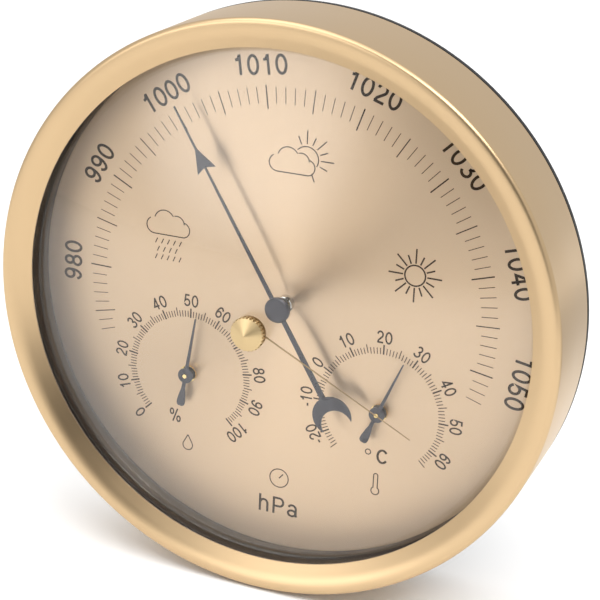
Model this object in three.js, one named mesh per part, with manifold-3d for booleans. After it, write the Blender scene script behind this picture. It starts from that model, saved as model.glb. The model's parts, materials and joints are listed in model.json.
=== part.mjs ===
import * as THREE from 'three';
import { mergeVertices } from 'three/addons/utils/BufferGeometryUtils.js';
import Module from 'manifold-3d';

// Round wall instrument: an aneroid barometer with a small hygrometer and thermometer in one case.
// Millimetres. The pieces are modelled in the dial's own frame: X to the right, Y up the dial,
// Z out of the wall towards the reader, with Z = 0 on the wall. The group then hangs the dial
// upright, so that the reader looks along +Y and +Z is up.

const wasm = await Module();
wasm.setup();

// Clearances
const seatGap = 0.3;
const pressFit = 0.1;
const runningFit = 0.25;

// Case
const caseRadius = 66;
const caseWall = 1.0;
const bezelWidth = 6.75;
const lipRadius = caseRadius - bezelWidth;
const lipHeight = 10.6;
const ridgeHeight = 13.1;
const cornerRadius = 1.1;

// Rear cover
const coverFloor = 1.8;
const coverChamfer = 3.6;
const coverRim = 2.0;
const coverSpigotWall = 2.0;
const hangerRadius = 5;
const hangerSlotWidth = 5;
const hangerInset = 25;
const hangerRise = 8;
const accessRadius = 3;
const ventWidth = 2.2;
const ventLength = 11;
const ventPitch = 4.7;
const ventsPerSide = 2;

// Dial
const dialZ = 15;
const dialThickness = 0.8;
const dialShow = lipRadius + 1.15;
const subdialX = 23.5;
const subdialY = -21.6;

// Glass
const glassThickness = 1.5;
const glassCentreHeight = 18.5;
const glassUnderLip = 2.55;
const glassEdgeRadius = lipRadius + glassUnderLip;
const glassHoleRadius = 2.0;
const gasketThickness = 0.7;
const gasketWidth = 1.7;

// Set knob and set hand
const knobRadius = 3.85;
const knobRim = 1.85;
const knobCone = 1.75;
const knobTeeth = 28;
const knobToothDepth = 0.3;
const knobRecess = 1.4;
const spindleRadius = 1.0;
const bushWall = 0.5;
const bushFlange = 2.7;
const washerThickness = 0.3;
const setHandLength = 40.8;
const setHandTipGap = 0.5;
const setHandRoot = 0.95;
const setHandTip = 0.36;
const setHandThickness = 0.35;
const setHandCollar = 2.2;
const setHandAngle = 120.7;

// Pressure hand, measured from the arbor
const handHeight = 4.9;
const handThickness = 0.35;
const handAngle = -31.7;
const handReach = 49.9;
const arrowStart = 39.4;
const arrowBarb = 34.3;
const arrowNotch = 35.1;
const arrowHalfWidth = 2.4;
const handTipWidth = 0.3;
const handNeckWidth = 0.42;
const handShaftWidth = 1.0;
const handTailWidth = 1.35;
const bossRadius = 2.75;
const bossRise = 0.8;
const crescentAt = 26.74;
const crescentRadius = 4.63;
const crescentBite = 3.78;
const crescentBiteShift = 2.5;

// Arbors and bush of the pressure movement
const arborRadius = 0.8;
const pivotRadius = 0.45;
const handArborRadius = 0.6;
const centreBushRadius = 1.6;
const centreBushTop = 2.0;
const centreBushNotches = 4;

// Small hands
const smallHandHeight = 1.9;
const smallHandThickness = 0.4;
const smallHandTail = 7.7;
const smallHubRadius = 1.83;
const smallPinRadius = 0.5;
const smallPinRise = 0.35;
const smallPointerWidth = 0.85;
const smallTipWidth = 0.3;
const paddleWidth = 1.7;
const hygroReach = 14.5;
const hygroAngle = 8.7;
const thermoReach = 14.1;
const thermoAngle = 22.5;

// Small instruments behind the dial
const smallBushRadius = 1.35;
const smallBushFlange = 2.0;
const smallBushRise = 0.9;
const smallBushFoot = 1.3;
const housingRadius = 10;
const housingWall = 0.8;
const housingBack = 5.2;
const housingFlange = 1.5;
const housingVents = 6;
const adjusterNeck = 2.3;
const adjusterReach = 1.8;
const adjusterDisc = 4.0;
const adjusterThickness = 0.8;
const adjusterSlotWidth = 0.8;
const adjusterSlotDepth = 0.9;
const coilTurns = 3.5;
const coilStrip = 0.4;
const coilWidth = 3.0;
const coilPostRadius = 0.6;
const coilArmWidth = 1.8;
const colletRadius = 1.0;

// Movement plates
const plateThickness = 0.8;
const basePlateZ = 2.6;
const frontPlateZ = 12.9;
const basePlateEdges = { left: -37, right: 29, bottom: -13, top: 27, corner: 5 };
const frontPlateEdges = { left: -8, right: 27, bottom: -9.7, top: 14.5, corner: 4 };
const pillarRadius = 1.5;
const pillars = [[-4, -6.2], [6, 11], [23.5, -2.5]];
const footRadius = 1.4;
const feet = [[-32, 23], [21, 22.5], [-32, -9]];

// Gear train: pinion on the centre arbor, sector on its own arbor
const gearModule = 0.3;
const pinionTeeth = 10;
const sectorTeeth = 120;
const sectorBearing = -25;
const sectorFirstTooth = -6;
const sectorLastTooth = 4;
const gearZ = 10.2;
const gearThickness = 0.8;
const sectorHub = 2.4;
const sectorRim = 2.6;
const sectorSpoke = 0.9;
const sectorWindow = 8;
const tailLength = 2.4;

// Rocking shaft, link, stud and capsule
const capsuleX = -17;
const capsuleY = 8.5;
const capsuleRadius = 15;
const capsuleBack = 0.8;
const capsuleThickness = 2.6;
const capsuleBoss = 0.4;
const capsuleBossRadius = 3;
const capsuleFolds = 3;
const leverArm = 2.0;
const leverWidth = 2.6;
const leverThickness = 0.7;
const leverZ = 8.6;
const shaftZ = 9.2;
const shaftRadius = 0.7;
const shaftLeft = -18.3;
const shaftRight = 23.6;
const bracketWidth = 1.5;
const bracketDepth = 3.4;
const bracketsX = [-0.9, 22.6];
const linkZ = 11.9;
const linkThickness = 0.5;
const linkEye = 1.3;
const linkHole = 0.7;
const linkPin = 0.38;
const linkWidth = 1.4;
const studRadius = 1.1;

// Hairspring
const hairspringTurns = 4;
const hairspringStrip = 0.25;
const hairspringWidth = 0.6;
const hairspringZ = 11.7;
const hairspringCollet = 1.2;
const hairspringOuter = 5.2;

// Rear cover fixings and calibration screw
const postRadius = 3.0;
const postInset = 12;
const postBearings = [30, 150, 270];
const screwShank = 1.0;
const screwReach = 6.5;
const screwHead = 2.6;
const screwHeadHeight = 0.7;
const screwSlot = 0.7;
const calibrationHead = 2.2;
const calibrationShank = 1.1;

// Levels above the wall
const dialBack = dialZ - dialThickness;
const coverRimZ = coverChamfer + coverRim;
const caseRear = coverRimZ + seatGap;
const caseInner = caseRadius - caseWall;
const spigotRadius = caseInner - seatGap;
const spigotTop = dialBack - seatGap;
const lipZ = dialZ + lipHeight;
const ridgeZ = dialZ + ridgeHeight;
const hangerY = caseRadius - hangerInset;
const postCircle = caseRadius - postInset;
const glassInnerZ = dialZ + glassCentreHeight;
const glassOuterZ = glassInnerZ + glassThickness;
const basePlateTop = basePlateZ + plateThickness;
const standZ = basePlateTop + seatGap;
const hangZ = frontPlateZ - seatGap;

// Glass dome: a sphere through the middle of the glass and a circle just under the case lip
const lipClearZ = lipZ - caseWall - seatGap;
const domeRise = glassOuterZ - lipClearZ;
const domeOuter = (lipRadius * lipRadius + domeRise * domeRise) / (2 * domeRise);
const domeInner = domeOuter - glassThickness;
const domeCentreZ = glassOuterZ - domeOuter;

function domeHeight(sphere, radius) {
  return domeCentreZ + Math.sqrt(sphere * sphere - radius * radius);
}

// Solids

function closed(geometry) {
  geometry.deleteAttribute('normal');
  geometry.deleteAttribute('uv');
  const merged = mergeVertices(geometry, 1e-5);
  const position = merged.getAttribute('position');
  const kept = [];
  let volume = 0;
  const a = new THREE.Vector3();
  const b = new THREE.Vector3();
  const c = new THREE.Vector3();
  for (let i = 0; i < merged.index.count; i += 3) {
    const [p, q, r] = [0, 1, 2].map((corner) => merged.index.getX(i + corner));
    if (p === q || q === r || r === p) continue;
    kept.push(p, q, r);
    a.fromBufferAttribute(position, p);
    b.fromBufferAttribute(position, q);
    c.fromBufferAttribute(position, r);
    volume += a.dot(b.cross(c));
  }
  if (volume < 0) kept.reverse();
  merged.setIndex(kept);
  return merged;
}

function toSolid(geometry) {
  const shell = closed(geometry);
  const mesh = new wasm.Mesh({
    numProp: 3,
    vertProperties: new Float32Array(shell.getAttribute('position').array),
    triVerts: new Uint32Array(shell.index.array),
  });
  return new wasm.Manifold(mesh);
}

function fromSolid(solid) {
  const mesh = solid.getMesh();
  const geometry = new THREE.BufferGeometry();
  geometry.setAttribute('position', new THREE.BufferAttribute(new Float32Array(mesh.vertProperties), 3));
  geometry.setIndex(Array.from(mesh.triVerts));
  return geometry;
}

function cut(geometry, ...tools) {
  return fromSolid(tools.reduce((body, tool) => body.subtract(toSolid(tool)), toSolid(geometry)));
}

function join(...pieces) {
  return fromSolid(pieces.map(toSolid).reduce((body, piece) => body.add(piece)));
}

function common(first, second) {
  return fromSolid(toSolid(first).intersect(toSolid(second)));
}

// Shapes turned about Z: the profile is a list of [radius, height]
function turned(profile, sides = 16) {
  const points = profile.map(([r, z]) => new THREE.Vector2(r, z));
  return closed(new THREE.LatheGeometry(points, sides).rotateX(Math.PI / 2));
}

function ring(profile, sides) {
  return turned([...profile, profile[0]], sides);
}

function tube(inner, outer, z0, z1, sides) {
  return ring([[inner, z0], [outer, z0], [outer, z1], [inner, z1]], sides);
}

function rod(radius, z0, z1, sides) {
  return turned([[0, z0], [radius, z0], [radius, z1], [0, z1]], sides);
}

// Shapes cut from plate: the outline lies in the dial's plane
function plate(shape, z0, z1, curveSegments = 8) {
  const depth = z1 - z0;
  const geometry = new THREE.ExtrudeGeometry(shape, { depth, bevelEnabled: false, curveSegments });
  return closed(geometry.translate(0, 0, z0));
}

function outline(points) {
  return new THREE.Shape(points.map(([x, y]) => new THREE.Vector2(x, y)));
}

function mirrored(points) {
  return outline([...points, ...points.map(([x, y]) => [-x, y]).reverse()]);
}

function slotShape(width, x0, y0, x1, y1) {
  const angle = Math.atan2(y1 - y0, x1 - x0);
  const shape = new THREE.Shape();
  shape.absarc(x0, y0, width / 2, angle + Math.PI / 2, angle + Math.PI * 1.5);
  shape.absarc(x1, y1, width / 2, angle - Math.PI / 2, angle + Math.PI / 2);
  shape.closePath();
  return shape;
}

function roundedShape({ left, right, bottom, top, corner }) {
  const shape = new THREE.Shape();
  shape.absarc(right - corner, bottom + corner, corner, -Math.PI / 2, 0);
  shape.absarc(right - corner, top - corner, corner, 0, Math.PI / 2);
  shape.absarc(left + corner, top - corner, corner, Math.PI / 2, Math.PI);
  shape.absarc(left + corner, bottom + corner, corner, Math.PI, Math.PI * 1.5);
  shape.closePath();
  return shape;
}

function block([x0, x1], [y0, y1], [z0, z1]) {
  const box = new THREE.BoxGeometry(x1 - x0, y1 - y0, z1 - z0);
  return closed(box.translate((x0 + x1) / 2, (y0 + y1) / 2, (z0 + z1) / 2));
}

function moved(geometry, x, y, z = 0) {
  return geometry.clone().translate(x, y, z);
}

function around(radius, degrees) {
  const angle = THREE.MathUtils.degToRad(degrees);
  return [radius * Math.cos(angle), radius * Math.sin(angle)];
}

// A hand reads clockwise from straight up
function readingTurn(degrees) {
  return -THREE.MathUtils.degToRad(degrees);
}

// A flat strip wound as a spiral, standing on its edge
function spiralStrip({ inner, outer, turns, strip, z0, width }) {
  const stepsPerTurn = 12;
  const count = Math.round(turns * stepsPerTurn);
  const inside = [];
  const outside = [];
  for (let i = 0; i <= count; i += 1) {
    const share = i / count;
    const radius = inner + share * (outer - inner);
    inside.push(around(radius, share * turns * 360));
    outside.push(around(radius + strip, share * turns * 360));
  }
  return plate(outline([...inside, ...outside.reverse()]), z0, z0 + width);
}

// Straight-flanked gear teeth, as points around a pitch circle
function toothPoints(teeth, first, last, startDegrees) {
  const pitchRadius = gearModule * teeth / 2;
  const tip = pitchRadius + 0.75 * gearModule;
  const root = pitchRadius - 1.1 * gearModule;
  const pitchDegrees = 360 / teeth;
  const tipHalf = 0.07 * pitchDegrees * pitchRadius / tip;
  const rootHalf = 0.24 * pitchDegrees * pitchRadius / root;
  const points = [];
  for (let i = first; i <= last; i += 1) {
    const middle = startDegrees + i * pitchDegrees;
    points.push(around(root, middle - rootHalf), around(tip, middle - tipHalf));
    points.push(around(tip, middle + tipHalf), around(root, middle + rootHalf));
  }
  return points;
}

// Materials

function finish(color, metalness, roughness, extra = {}) {
  return { color, metalness, roughness, ...extra };
}

const finishes = {
  gold: finish(0xd9b880, 0.9, 0.35),
  champagne: finish(0xd8c09a, 0.8, 0.4),
  brass: finish(0xc9a457, 1.0, 0.25),
  gunmetal: finish(0x5f6166, 0.3, 0.45),
  blackPlastic: finish(0x1b1b1c, 0.0, 0.6),
  darkRing: finish(0x4a4443, 0.0, 0.4),
  rubber: finish(0x222222, 0.0, 0.8),
  steel: finish(0x9a9da1, 1.0, 0.35),
  nickel: finish(0xc4c1b6, 1.0, 0.3),
  bimetal: finish(0xa8855a, 1.0, 0.45),
  glass: finish(0xf4f7f7, 0.0, 0.05, { transparent: true, opacity: 0.2 }),
};

const part = new THREE.Group();
part.rotation.x = Math.PI / 2;

function add(name, geometry, look, x = 0, y = 0, turn = 0) {
  const mesh = new THREE.Mesh(geometry, new THREE.MeshStandardMaterial(finishes[look]));
  mesh.name = name;
  mesh.position.set(x, y, 0);
  mesh.rotation.z = turn;
  part.add(mesh);
}

// Case, glass and dial

const roundSides = 64;

// The face rolls over from the ridge down to the lip, as a quarter of an ellipse
function caseShell() {
  const cornerZ = ridgeZ - cornerRadius;
  const cornerMiddle = caseRadius - cornerRadius;
  const run = cornerMiddle - lipRadius;
  const drop = ridgeZ - lipZ;
  const rolled = (share) => [cornerMiddle - run * share, lipZ + drop * Math.sqrt(1 - share * share)];
  const corner = [0, 30, 60, 90].map((degrees) => around(cornerRadius, degrees));
  const outside = corner.map(([dr, dz]) => [cornerMiddle + dr, cornerZ + dz]);
  const face = [0.45, 0.72, 0.9, 1].map(rolled);
  const under = [0.84, 0.66, 0.4].map(rolled).map(([r, z]) => [r, z - caseWall]);
  return ring([
    [caseRadius, caseRear],
    ...outside,
    ...face,
    [lipRadius + caseWall * 0.9, lipZ - caseWall * 0.3],
    ...under,
    [caseInner - cornerRadius, ridgeZ - caseWall * 1.1],
    [caseInner, cornerZ - caseWall * 0.5],
    [caseInner, caseRear],
  ], roundSides);
}

function frontGlass() {
  const shares = [0.42, 0.72, 0.9, 1];
  const radii = [glassHoleRadius, ...shares.map((share) => share * glassEdgeRadius)];
  const inside = radii.map((radius) => [radius, domeHeight(domeInner, radius)]);
  const outside = radii.map((radius) => [radius, domeHeight(domeOuter, radius)]);
  return ring([...inside, ...outside.reverse()], roundSides);
}

function gasket() {
  const outer = glassEdgeRadius + runningFit;
  const inner = outer - gasketWidth;
  const z = domeHeight(domeOuter, inner) + seatGap;
  return tube(inner, outer, z, z + gasketThickness, roundSides);
}

// Ring between dial and glass: its shelf carries the glass and its collar centres it
function spacerRing() {
  const foot = dialZ + seatGap;
  const shelf = domeHeight(domeInner, glassEdgeRadius) - seatGap;
  const collarInner = glassEdgeRadius + seatGap + pressFit;
  const collarTop = shelf + glassThickness + 4 * seatGap;
  const step = 0.5;
  const stepZ = foot + 0.6 * (shelf - foot);
  return ring([
    [dialShow, foot],
    [spigotRadius, foot],
    [spigotRadius, collarTop],
    [collarInner, collarTop],
    [collarInner, shelf],
    [dialShow + step, shelf],
    [dialShow + step, stepZ],
    [dialShow, stepZ - step],
  ], roundSides);
}

function dialPlate() {
  const hole = (radius, x, y) => moved(rod(radius, dialBack - 1, dialZ + 1), x, y);
  return cut(
    rod(spigotRadius - pressFit, dialBack, dialZ, roundSides),
    hole(centreBushRadius + runningFit, 0, 0),
    hole(smallBushRadius + seatGap, subdialX, subdialY),
    hole(smallBushRadius + seatGap, -subdialX, subdialY),
  );
}

function rearCover() {
  const pan = turned([
    [0, 0],
    [caseRadius - coverChamfer, 0],
    [caseRadius, coverChamfer],
    [caseRadius, coverRimZ],
    [spigotRadius, coverRimZ],
    [spigotRadius, spigotTop],
    [spigotRadius - coverSpigotWall, spigotTop],
    [spigotRadius - coverSpigotWall, coverFloor],
    [0, coverFloor],
  ], roundSides);
  const [below, above] = [-1, coverFloor + 1];
  const tools = [
    rod(hangerRadius, below, above).translate(0, hangerY, 0),
    plate(slotShape(hangerSlotWidth, 0, hangerY, 0, hangerY + hangerRise), below, above),
    moved(rod(accessRadius, below, above), capsuleX, capsuleY),
  ];
  for (const side of [-1, 1]) {
    const middle = side * subdialX;
    tools.push(moved(rod(accessRadius, below, above), middle, subdialY));
    for (let k = 1; k <= ventsPerSide; k += 1) {
      for (const x of [middle - k * ventPitch, middle + k * ventPitch]) {
        const [y0, y1] = [subdialY - ventLength / 2, subdialY + ventLength / 2];
        tools.push(plate(slotShape(ventWidth, x, y0, x, y1), below, above, 4));
      }
    }
  }
  for (const [x, y] of postBearings.map((degrees) => around(postCircle, degrees))) {
    tools.push(moved(rod(screwShank + seatGap, below, above), x, y));
    tools.push(moved(rod(screwHead + seatGap, below, screwHeadHeight + pressFit), x, y));
  }
  return cut(pan, ...tools);
}

add('case_shell', caseShell(), 'gold');
add('front_glass', frontGlass(), 'glass');
add('glass_gasket', gasket(), 'rubber');
add('spacer_ring', spacerRing(), 'darkRing');
add('dial_plate', dialPlate(), 'champagne');
add('rear_cover', rearCover(), 'blackPlastic');

// Slotted screws that enter from the rear: head at z0, shank running up to z1
function slottedScrew(headRadius, headHeight, shank, z0, z1) {
  const body = turned([[0, z0], [headRadius, z0], [headRadius, z0 + headHeight], [shank, z0 + headHeight],
    [shank, z1], [0, z1]], 20);
  const slot = block([-headRadius - 1, headRadius + 1], [-screwSlot / 2, screwSlot / 2],
    [z0 - 1, z0 + headHeight / 2]);
  return cut(body, slot);
}

postBearings.forEach((degrees, i) => {
  const [x, y] = around(postCircle, degrees);
  const foot = coverFloor + seatGap;
  const post = cut(rod(postRadius, foot, spigotTop),
    rod(screwShank + pressFit, foot - 1, foot + screwReach + seatGap));
  const screw = slottedScrew(screwHead, screwHeadHeight - pressFit, screwShank, pressFit, foot + screwReach);
  add(`cover_post_${i + 1}`, post, 'blackPlastic', x, y);
  add(`cover_screw_${i + 1}`, screw, 'steel', x, y);
});

// Set knob, spindle and set hand

const knobZ = glassOuterZ + seatGap;
const knobCeiling = knobZ + knobRecess;
const spindleTop = knobCeiling + 0.8;
const collarTopZ = glassInnerZ - seatGap;
const collarBottomZ = collarTopZ - 0.8;

function setKnob() {
  const ribs = [];
  for (let i = 0; i < knobTeeth; i += 1) {
    const step = 360 / knobTeeth;
    ribs.push(around(knobRadius, (i - 0.22) * step), around(knobRadius, (i + 0.22) * step));
    ribs.push(around(knobRadius - knobToothDepth, (i + 0.5) * step));
  }
  const rimZ = knobZ + knobRim;
  const smoothRadius = knobRadius - knobToothDepth;
  const shoulder = turned([[0, knobZ], [knobRadius + 0.1, knobZ], [knobRadius + 0.1, rimZ - 0.35],
    [smoothRadius, rimZ], [0, rimZ + knobCone]], knobTeeth);
  const body = common(shoulder, plate(outline(ribs), knobZ - 1, rimZ + knobCone + 1));
  const recess = rod(bushFlange + seatGap, knobZ - 1, knobCeiling);
  const bore = rod(spindleRadius + pressFit, knobZ - 1, spindleTop + pressFit);
  return cut(body, recess, bore);
}

// The bush lines the hole of the glass; its flange and the spring washer hide under the knob
function glassBush() {
  const inner = spindleRadius + runningFit;
  const flangeZ = glassOuterZ + seatGap;
  return ring([[inner, glassInnerZ], [inner + bushWall, glassInnerZ], [inner + bushWall, flangeZ],
    [bushFlange, flangeZ], [bushFlange, flangeZ + bushWall], [inner, flangeZ + bushWall]]);
}

function setHand() {
  const tipZ = domeHeight(domeInner, setHandLength) - setHandTipGap;
  const slope = Math.atan2(collarTopZ - pressFit - tipZ, setHandLength);
  const run = setHandLength / Math.cos(slope);
  const blade = plate(mirrored([[setHandRoot / 2, 0], [setHandTip / 2, run]]), -setHandThickness, 0);
  blade.rotateX(-slope).translate(0, 0, collarTopZ - pressFit);
  const collar = rod(setHandCollar, collarBottomZ, collarTopZ);
  return cut(join(blade, collar), rod(spindleRadius + pressFit, collarBottomZ - 1, collarTopZ + 1));
}

const washerZ = glassOuterZ + 2 * seatGap + bushWall;
add('set_knob', setKnob(), 'brass');
add('set_spindle', rod(spindleRadius, collarBottomZ, spindleTop), 'brass');
add('set_washer', tube(spindleRadius + pressFit, bushFlange, washerZ, washerZ + washerThickness), 'steel');
add('glass_bush', glassBush(), 'brass');
add('set_hand', setHand(), 'brass', 0, 0, readingTurn(setHandAngle));

// Pressure hand and its arbor

const handZ = dialZ + handHeight;
const handTopZ = handZ + handThickness;
const handArborTop = handTopZ + 0.2;

function pressureHand() {
  const arrow = mirrored([
    [handShaftWidth / 2, 0],
    [handNeckWidth / 2, arrowNotch],
    [arrowHalfWidth, arrowBarb],
    [handNeckWidth / 2, arrowStart],
    [handTipWidth / 2, handReach],
  ]);
  const tailEnd = crescentAt - crescentRadius + 1;
  const tail = mirrored([[handTailWidth / 2, -tailEnd], [handShaftWidth / 2, 0]]);
  const moon = cut(
    moved(rod(crescentRadius, handZ, handTopZ, 36), 0, -crescentAt),
    moved(rod(crescentBite, handZ - 1, handTopZ + 1, 36), 0, -crescentAt - crescentBiteShift),
  );
  const dome = [1, 0.92, 0.75, 0.45, 0].map((share) => {
    return [bossRadius * share, handTopZ + bossRise * Math.sqrt(1 - share * share)];
  });
  const boss = turned([[0, handZ], [bossRadius, handZ], ...dome], 28);
  const body = join(plate(arrow, handZ, handTopZ), plate(tail, handZ, handTopZ), moon, boss);
  return cut(body, rod(handArborRadius + pressFit, handZ - 1, handArborTop + pressFit));
}

// The collar on the arbor below the boss, and the bright notched bush below that
const bushTopZ = dialZ + centreBushTop;

function centreBush() {
  const body = tube(handArborRadius + runningFit, centreBushRadius, frontPlateZ + plateThickness + seatGap,
    bushTopZ);
  const notches = [];
  for (let i = 0; i < centreBushNotches / 2; i += 1) {
    const notch = block([-centreBushRadius - 1, centreBushRadius + 1], [-0.3, 0.3], [bushTopZ - 0.7, bushTopZ + 1]);
    notches.push(notch.rotateZ(i * 2 * Math.PI / centreBushNotches + Math.PI / 4));
  }
  return cut(body, ...notches);
}

const arborFoot = basePlateZ + pressFit;

function centreArbor() {
  return turned([[0, arborFoot], [pivotRadius, arborFoot], [pivotRadius, standZ], [handArborRadius, standZ],
    [handArborRadius, handArborTop], [0, handArborTop]], 16);
}

const pinionZ = [gearZ - seatGap, gearZ + gearThickness + seatGap];
const pinionOutline = toothPoints(pinionTeeth, 0, pinionTeeth - 1, sectorBearing + 180 / pinionTeeth);
const pinion = cut(plate(outline(pinionOutline), ...pinionZ),
  rod(handArborRadius + pressFit, gearZ - 1, gearZ + gearThickness + 1, 16));

function hairspring() {
  const top = hairspringZ + hairspringWidth;
  const coil = spiralStrip({
    inner: hairspringCollet - 0.1,
    outer: hairspringOuter,
    turns: hairspringTurns,
    strip: hairspringStrip,
    z0: hairspringZ,
    width: hairspringWidth,
  });
  return join(tube(handArborRadius + pressFit, hairspringCollet, hairspringZ, top, 16), coil);
}

add('pressure_hand', pressureHand(), 'gunmetal', 0, 0, readingTurn(handAngle));
add('hand_collet', tube(handArborRadius + pressFit, 1.25, bushTopZ + seatGap, handZ - pressFit, 20), 'brass');
add('centre_bush', centreBush(), 'nickel');
add('centre_arbor', centreArbor(), 'steel');
add('centre_pinion', pinion, 'brass');
add('hairspring', hairspring(), 'steel');

// Movement plates, pillars and feet

const centreDistance = gearModule * (sectorTeeth + pinionTeeth) / 2;
const [sectorX, sectorY] = around(centreDistance, sectorBearing);
const linkX = sectorX + tailLength;
const shaftY = capsuleY - leverArm;
const pivotHole = pivotRadius + runningFit;

function basePlate() {
  const body = plate(roundedShape(basePlateEdges), basePlateZ, basePlateTop);
  const hole = (radius, x, y) => moved(rod(radius, basePlateZ - 1, basePlateTop + 1, 16), x, y);
  return cut(body, hole(pivotHole, 0, 0), hole(pivotHole, sectorX, sectorY),
    hole(calibrationShank + seatGap, capsuleX, capsuleY));
}

function frontPlate() {
  const top = frontPlateZ + plateThickness;
  const body = plate(roundedShape(frontPlateEdges), frontPlateZ, top);
  const hole = (radius, x, y) => moved(rod(radius, frontPlateZ - 1, top + 1, 16), x, y);
  return cut(body, hole(handArborRadius + runningFit, 0, 0), hole(pivotHole, sectorX, sectorY));
}

add('base_plate', basePlate(), 'nickel');
add('front_plate', frontPlate(), 'nickel');
pillars.forEach(([x, y], i) => add(`movement_pillar_${i + 1}`, rod(pillarRadius, standZ, hangZ), 'brass', x, y));
feet.forEach(([x, y], i) => add(`dial_foot_${i + 1}`, rod(footRadius, standZ, spigotTop), 'brass', x, y));

bracketsX.forEach((x, i) => {
  const sides = [[x - bracketWidth / 2, x + bracketWidth / 2], [shaftY - bracketDepth / 2, shaftY + bracketDepth / 2]];
  const bore = rod(shaftRadius + runningFit, x - bracketWidth, x + bracketWidth, 16);
  bore.rotateY(Math.PI / 2).translate(0, shaftY, shaftZ);
  add(`shaft_bracket_${i + 1}`, cut(block(...sides, [standZ, shaftZ + bracketDepth / 2]), bore), 'nickel');
});

// Sector, link and rocking shaft

function sectorGear() {
  const facing = sectorBearing + 180;
  const pitchDegrees = 360 / sectorTeeth;
  const pitchRadius = gearModule * sectorTeeth / 2;
  const top = gearZ + gearThickness;
  const teeth = toothPoints(sectorTeeth, sectorFirstTooth, sectorLastTooth, facing);
  const fan = plate(outline([[0, 0], ...teeth]), gearZ, top);
  const tail = plate(slotShape(2 * linkEye, 0, 0, tailLength, 0), gearZ, top);
  const pin = moved(rod(linkPin, gearZ, hangZ, 12), tailLength, 0);
  const windowOuter = pitchRadius - sectorRim;
  const window = [];
  const first = facing + sectorFirstTooth * pitchDegrees;
  const last = facing + sectorLastTooth * pitchDegrees;
  for (const [radius, from, to] of [[sectorWindow, last, first], [windowOuter, first, last]]) {
    const inset = THREE.MathUtils.radToDeg(sectorSpoke / radius) * Math.sign(to - from);
    for (let k = 0; k <= 6; k += 1) {
      window.push(around(radius, from + inset + (to - from - 2 * inset) * k / 6));
    }
  }
  return cut(
    join(fan, rod(sectorHub, gearZ, top), tail, pin),
    plate(outline(window), gearZ - 1, top + 1),
    rod(arborRadius + pressFit, gearZ - 1, top + 1, 16),
  );
}

function sectorArbor() {
  const top = frontPlateZ + plateThickness - pressFit;
  return turned([[0, arborFoot], [pivotRadius, arborFoot], [pivotRadius, standZ], [arborRadius, standZ],
    [arborRadius, hangZ], [pivotRadius, hangZ], [pivotRadius, top], [0, top]], 16);
}

function linkRod() {
  const top = linkZ + linkThickness;
  const bar = plate(slotShape(linkWidth, linkX, sectorY, linkX, shaftY), linkZ, top);
  const ends = [sectorY, shaftY];
  const eyes = ends.map((y) => moved(rod(linkEye, linkZ, top, 20), linkX, y));
  const holes = ends.map((y) => moved(rod(linkHole, linkZ - 1, top + 1, 20), linkX, y));
  return cut(join(bar, ...eyes), ...holes);
}

function rockingShaft() {
  const shaft = rod(shaftRadius, shaftLeft, shaftRight, 16);
  shaft.rotateY(Math.PI / 2).translate(0, shaftY, shaftZ);
  const lever = block([capsuleX - leverWidth / 2, capsuleX + leverWidth / 2],
    [shaftY, capsuleY + studRadius], [leverZ, leverZ + leverThickness]);
  const arm = block([linkX - shaftRadius, linkX + shaftRadius], [shaftY - shaftRadius, shaftY + shaftRadius],
    [shaftZ, linkZ - 2 * runningFit]);
  const pin = moved(rod(linkPin, shaftZ, hangZ, 12), linkX, shaftY);
  return join(shaft, lever, arm, pin);
}

add('sector_gear', sectorGear(), 'brass', sectorX, sectorY);
add('sector_arbor', sectorArbor(), 'steel', sectorX, sectorY);
add('link_rod', linkRod(), 'steel');
add('rocking_shaft', rockingShaft(), 'steel');

// Capsule, its stud and the calibration screw

const capsuleBackZ = basePlateTop + capsuleBack;
const capsuleFrontZ = capsuleBackZ + capsuleThickness;

function capsule() {
  const edge = 0.9;
  const fold = 0.45;
  const folds = [];
  const span = capsuleRadius - capsuleBossRadius - 1;
  for (let k = 0; k <= 2 * capsuleFolds; k += 1) {
    folds.push([capsuleBossRadius + 0.5 + span * k / (2 * capsuleFolds), (k % 2) * fold]);
  }
  const back = folds.map(([r, depth]) => [r, capsuleBackZ + depth]);
  const front = folds.map(([r, depth]) => [r, capsuleFrontZ - depth]).reverse();
  return turned([
    [0, capsuleBackZ - capsuleBoss],
    [capsuleBossRadius, capsuleBackZ - capsuleBoss],
    ...back,
    [capsuleRadius, capsuleBackZ + edge],
    [capsuleRadius, capsuleFrontZ - edge],
    ...front,
    [capsuleBossRadius, capsuleFrontZ + capsuleBoss],
    [0, capsuleFrontZ + capsuleBoss],
  ], 24);
}

add('aneroid_capsule', capsule(), 'nickel', capsuleX, capsuleY);
add('capsule_stud', rod(studRadius, capsuleFrontZ + capsuleBoss + seatGap, leverZ - seatGap, 16), 'brass',
  capsuleX, capsuleY);
add('calibration_screw', slottedScrew(calibrationHead, 1.2, calibrationShank, 0.9, basePlateTop + pressFit),
  'brass', capsuleX, capsuleY);

// Small instruments: the same build twice, with a humidity coil on the left and a bimetal coil on
// the right. The adjuster turns in the housing floor and carries the outer end of the coil.

const housingFloorTop = housingBack + housingWall;
const discZ = housingFloorTop + seatGap;
const discTop = discZ + adjusterThickness;
const smallHandZ = dialZ + smallHandHeight;
const coilZ = discTop + 3 * seatGap;
const housingInner = housingRadius - housingWall;
const coilPostAt = housingInner - seatGap - coilArmWidth / 2;

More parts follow.
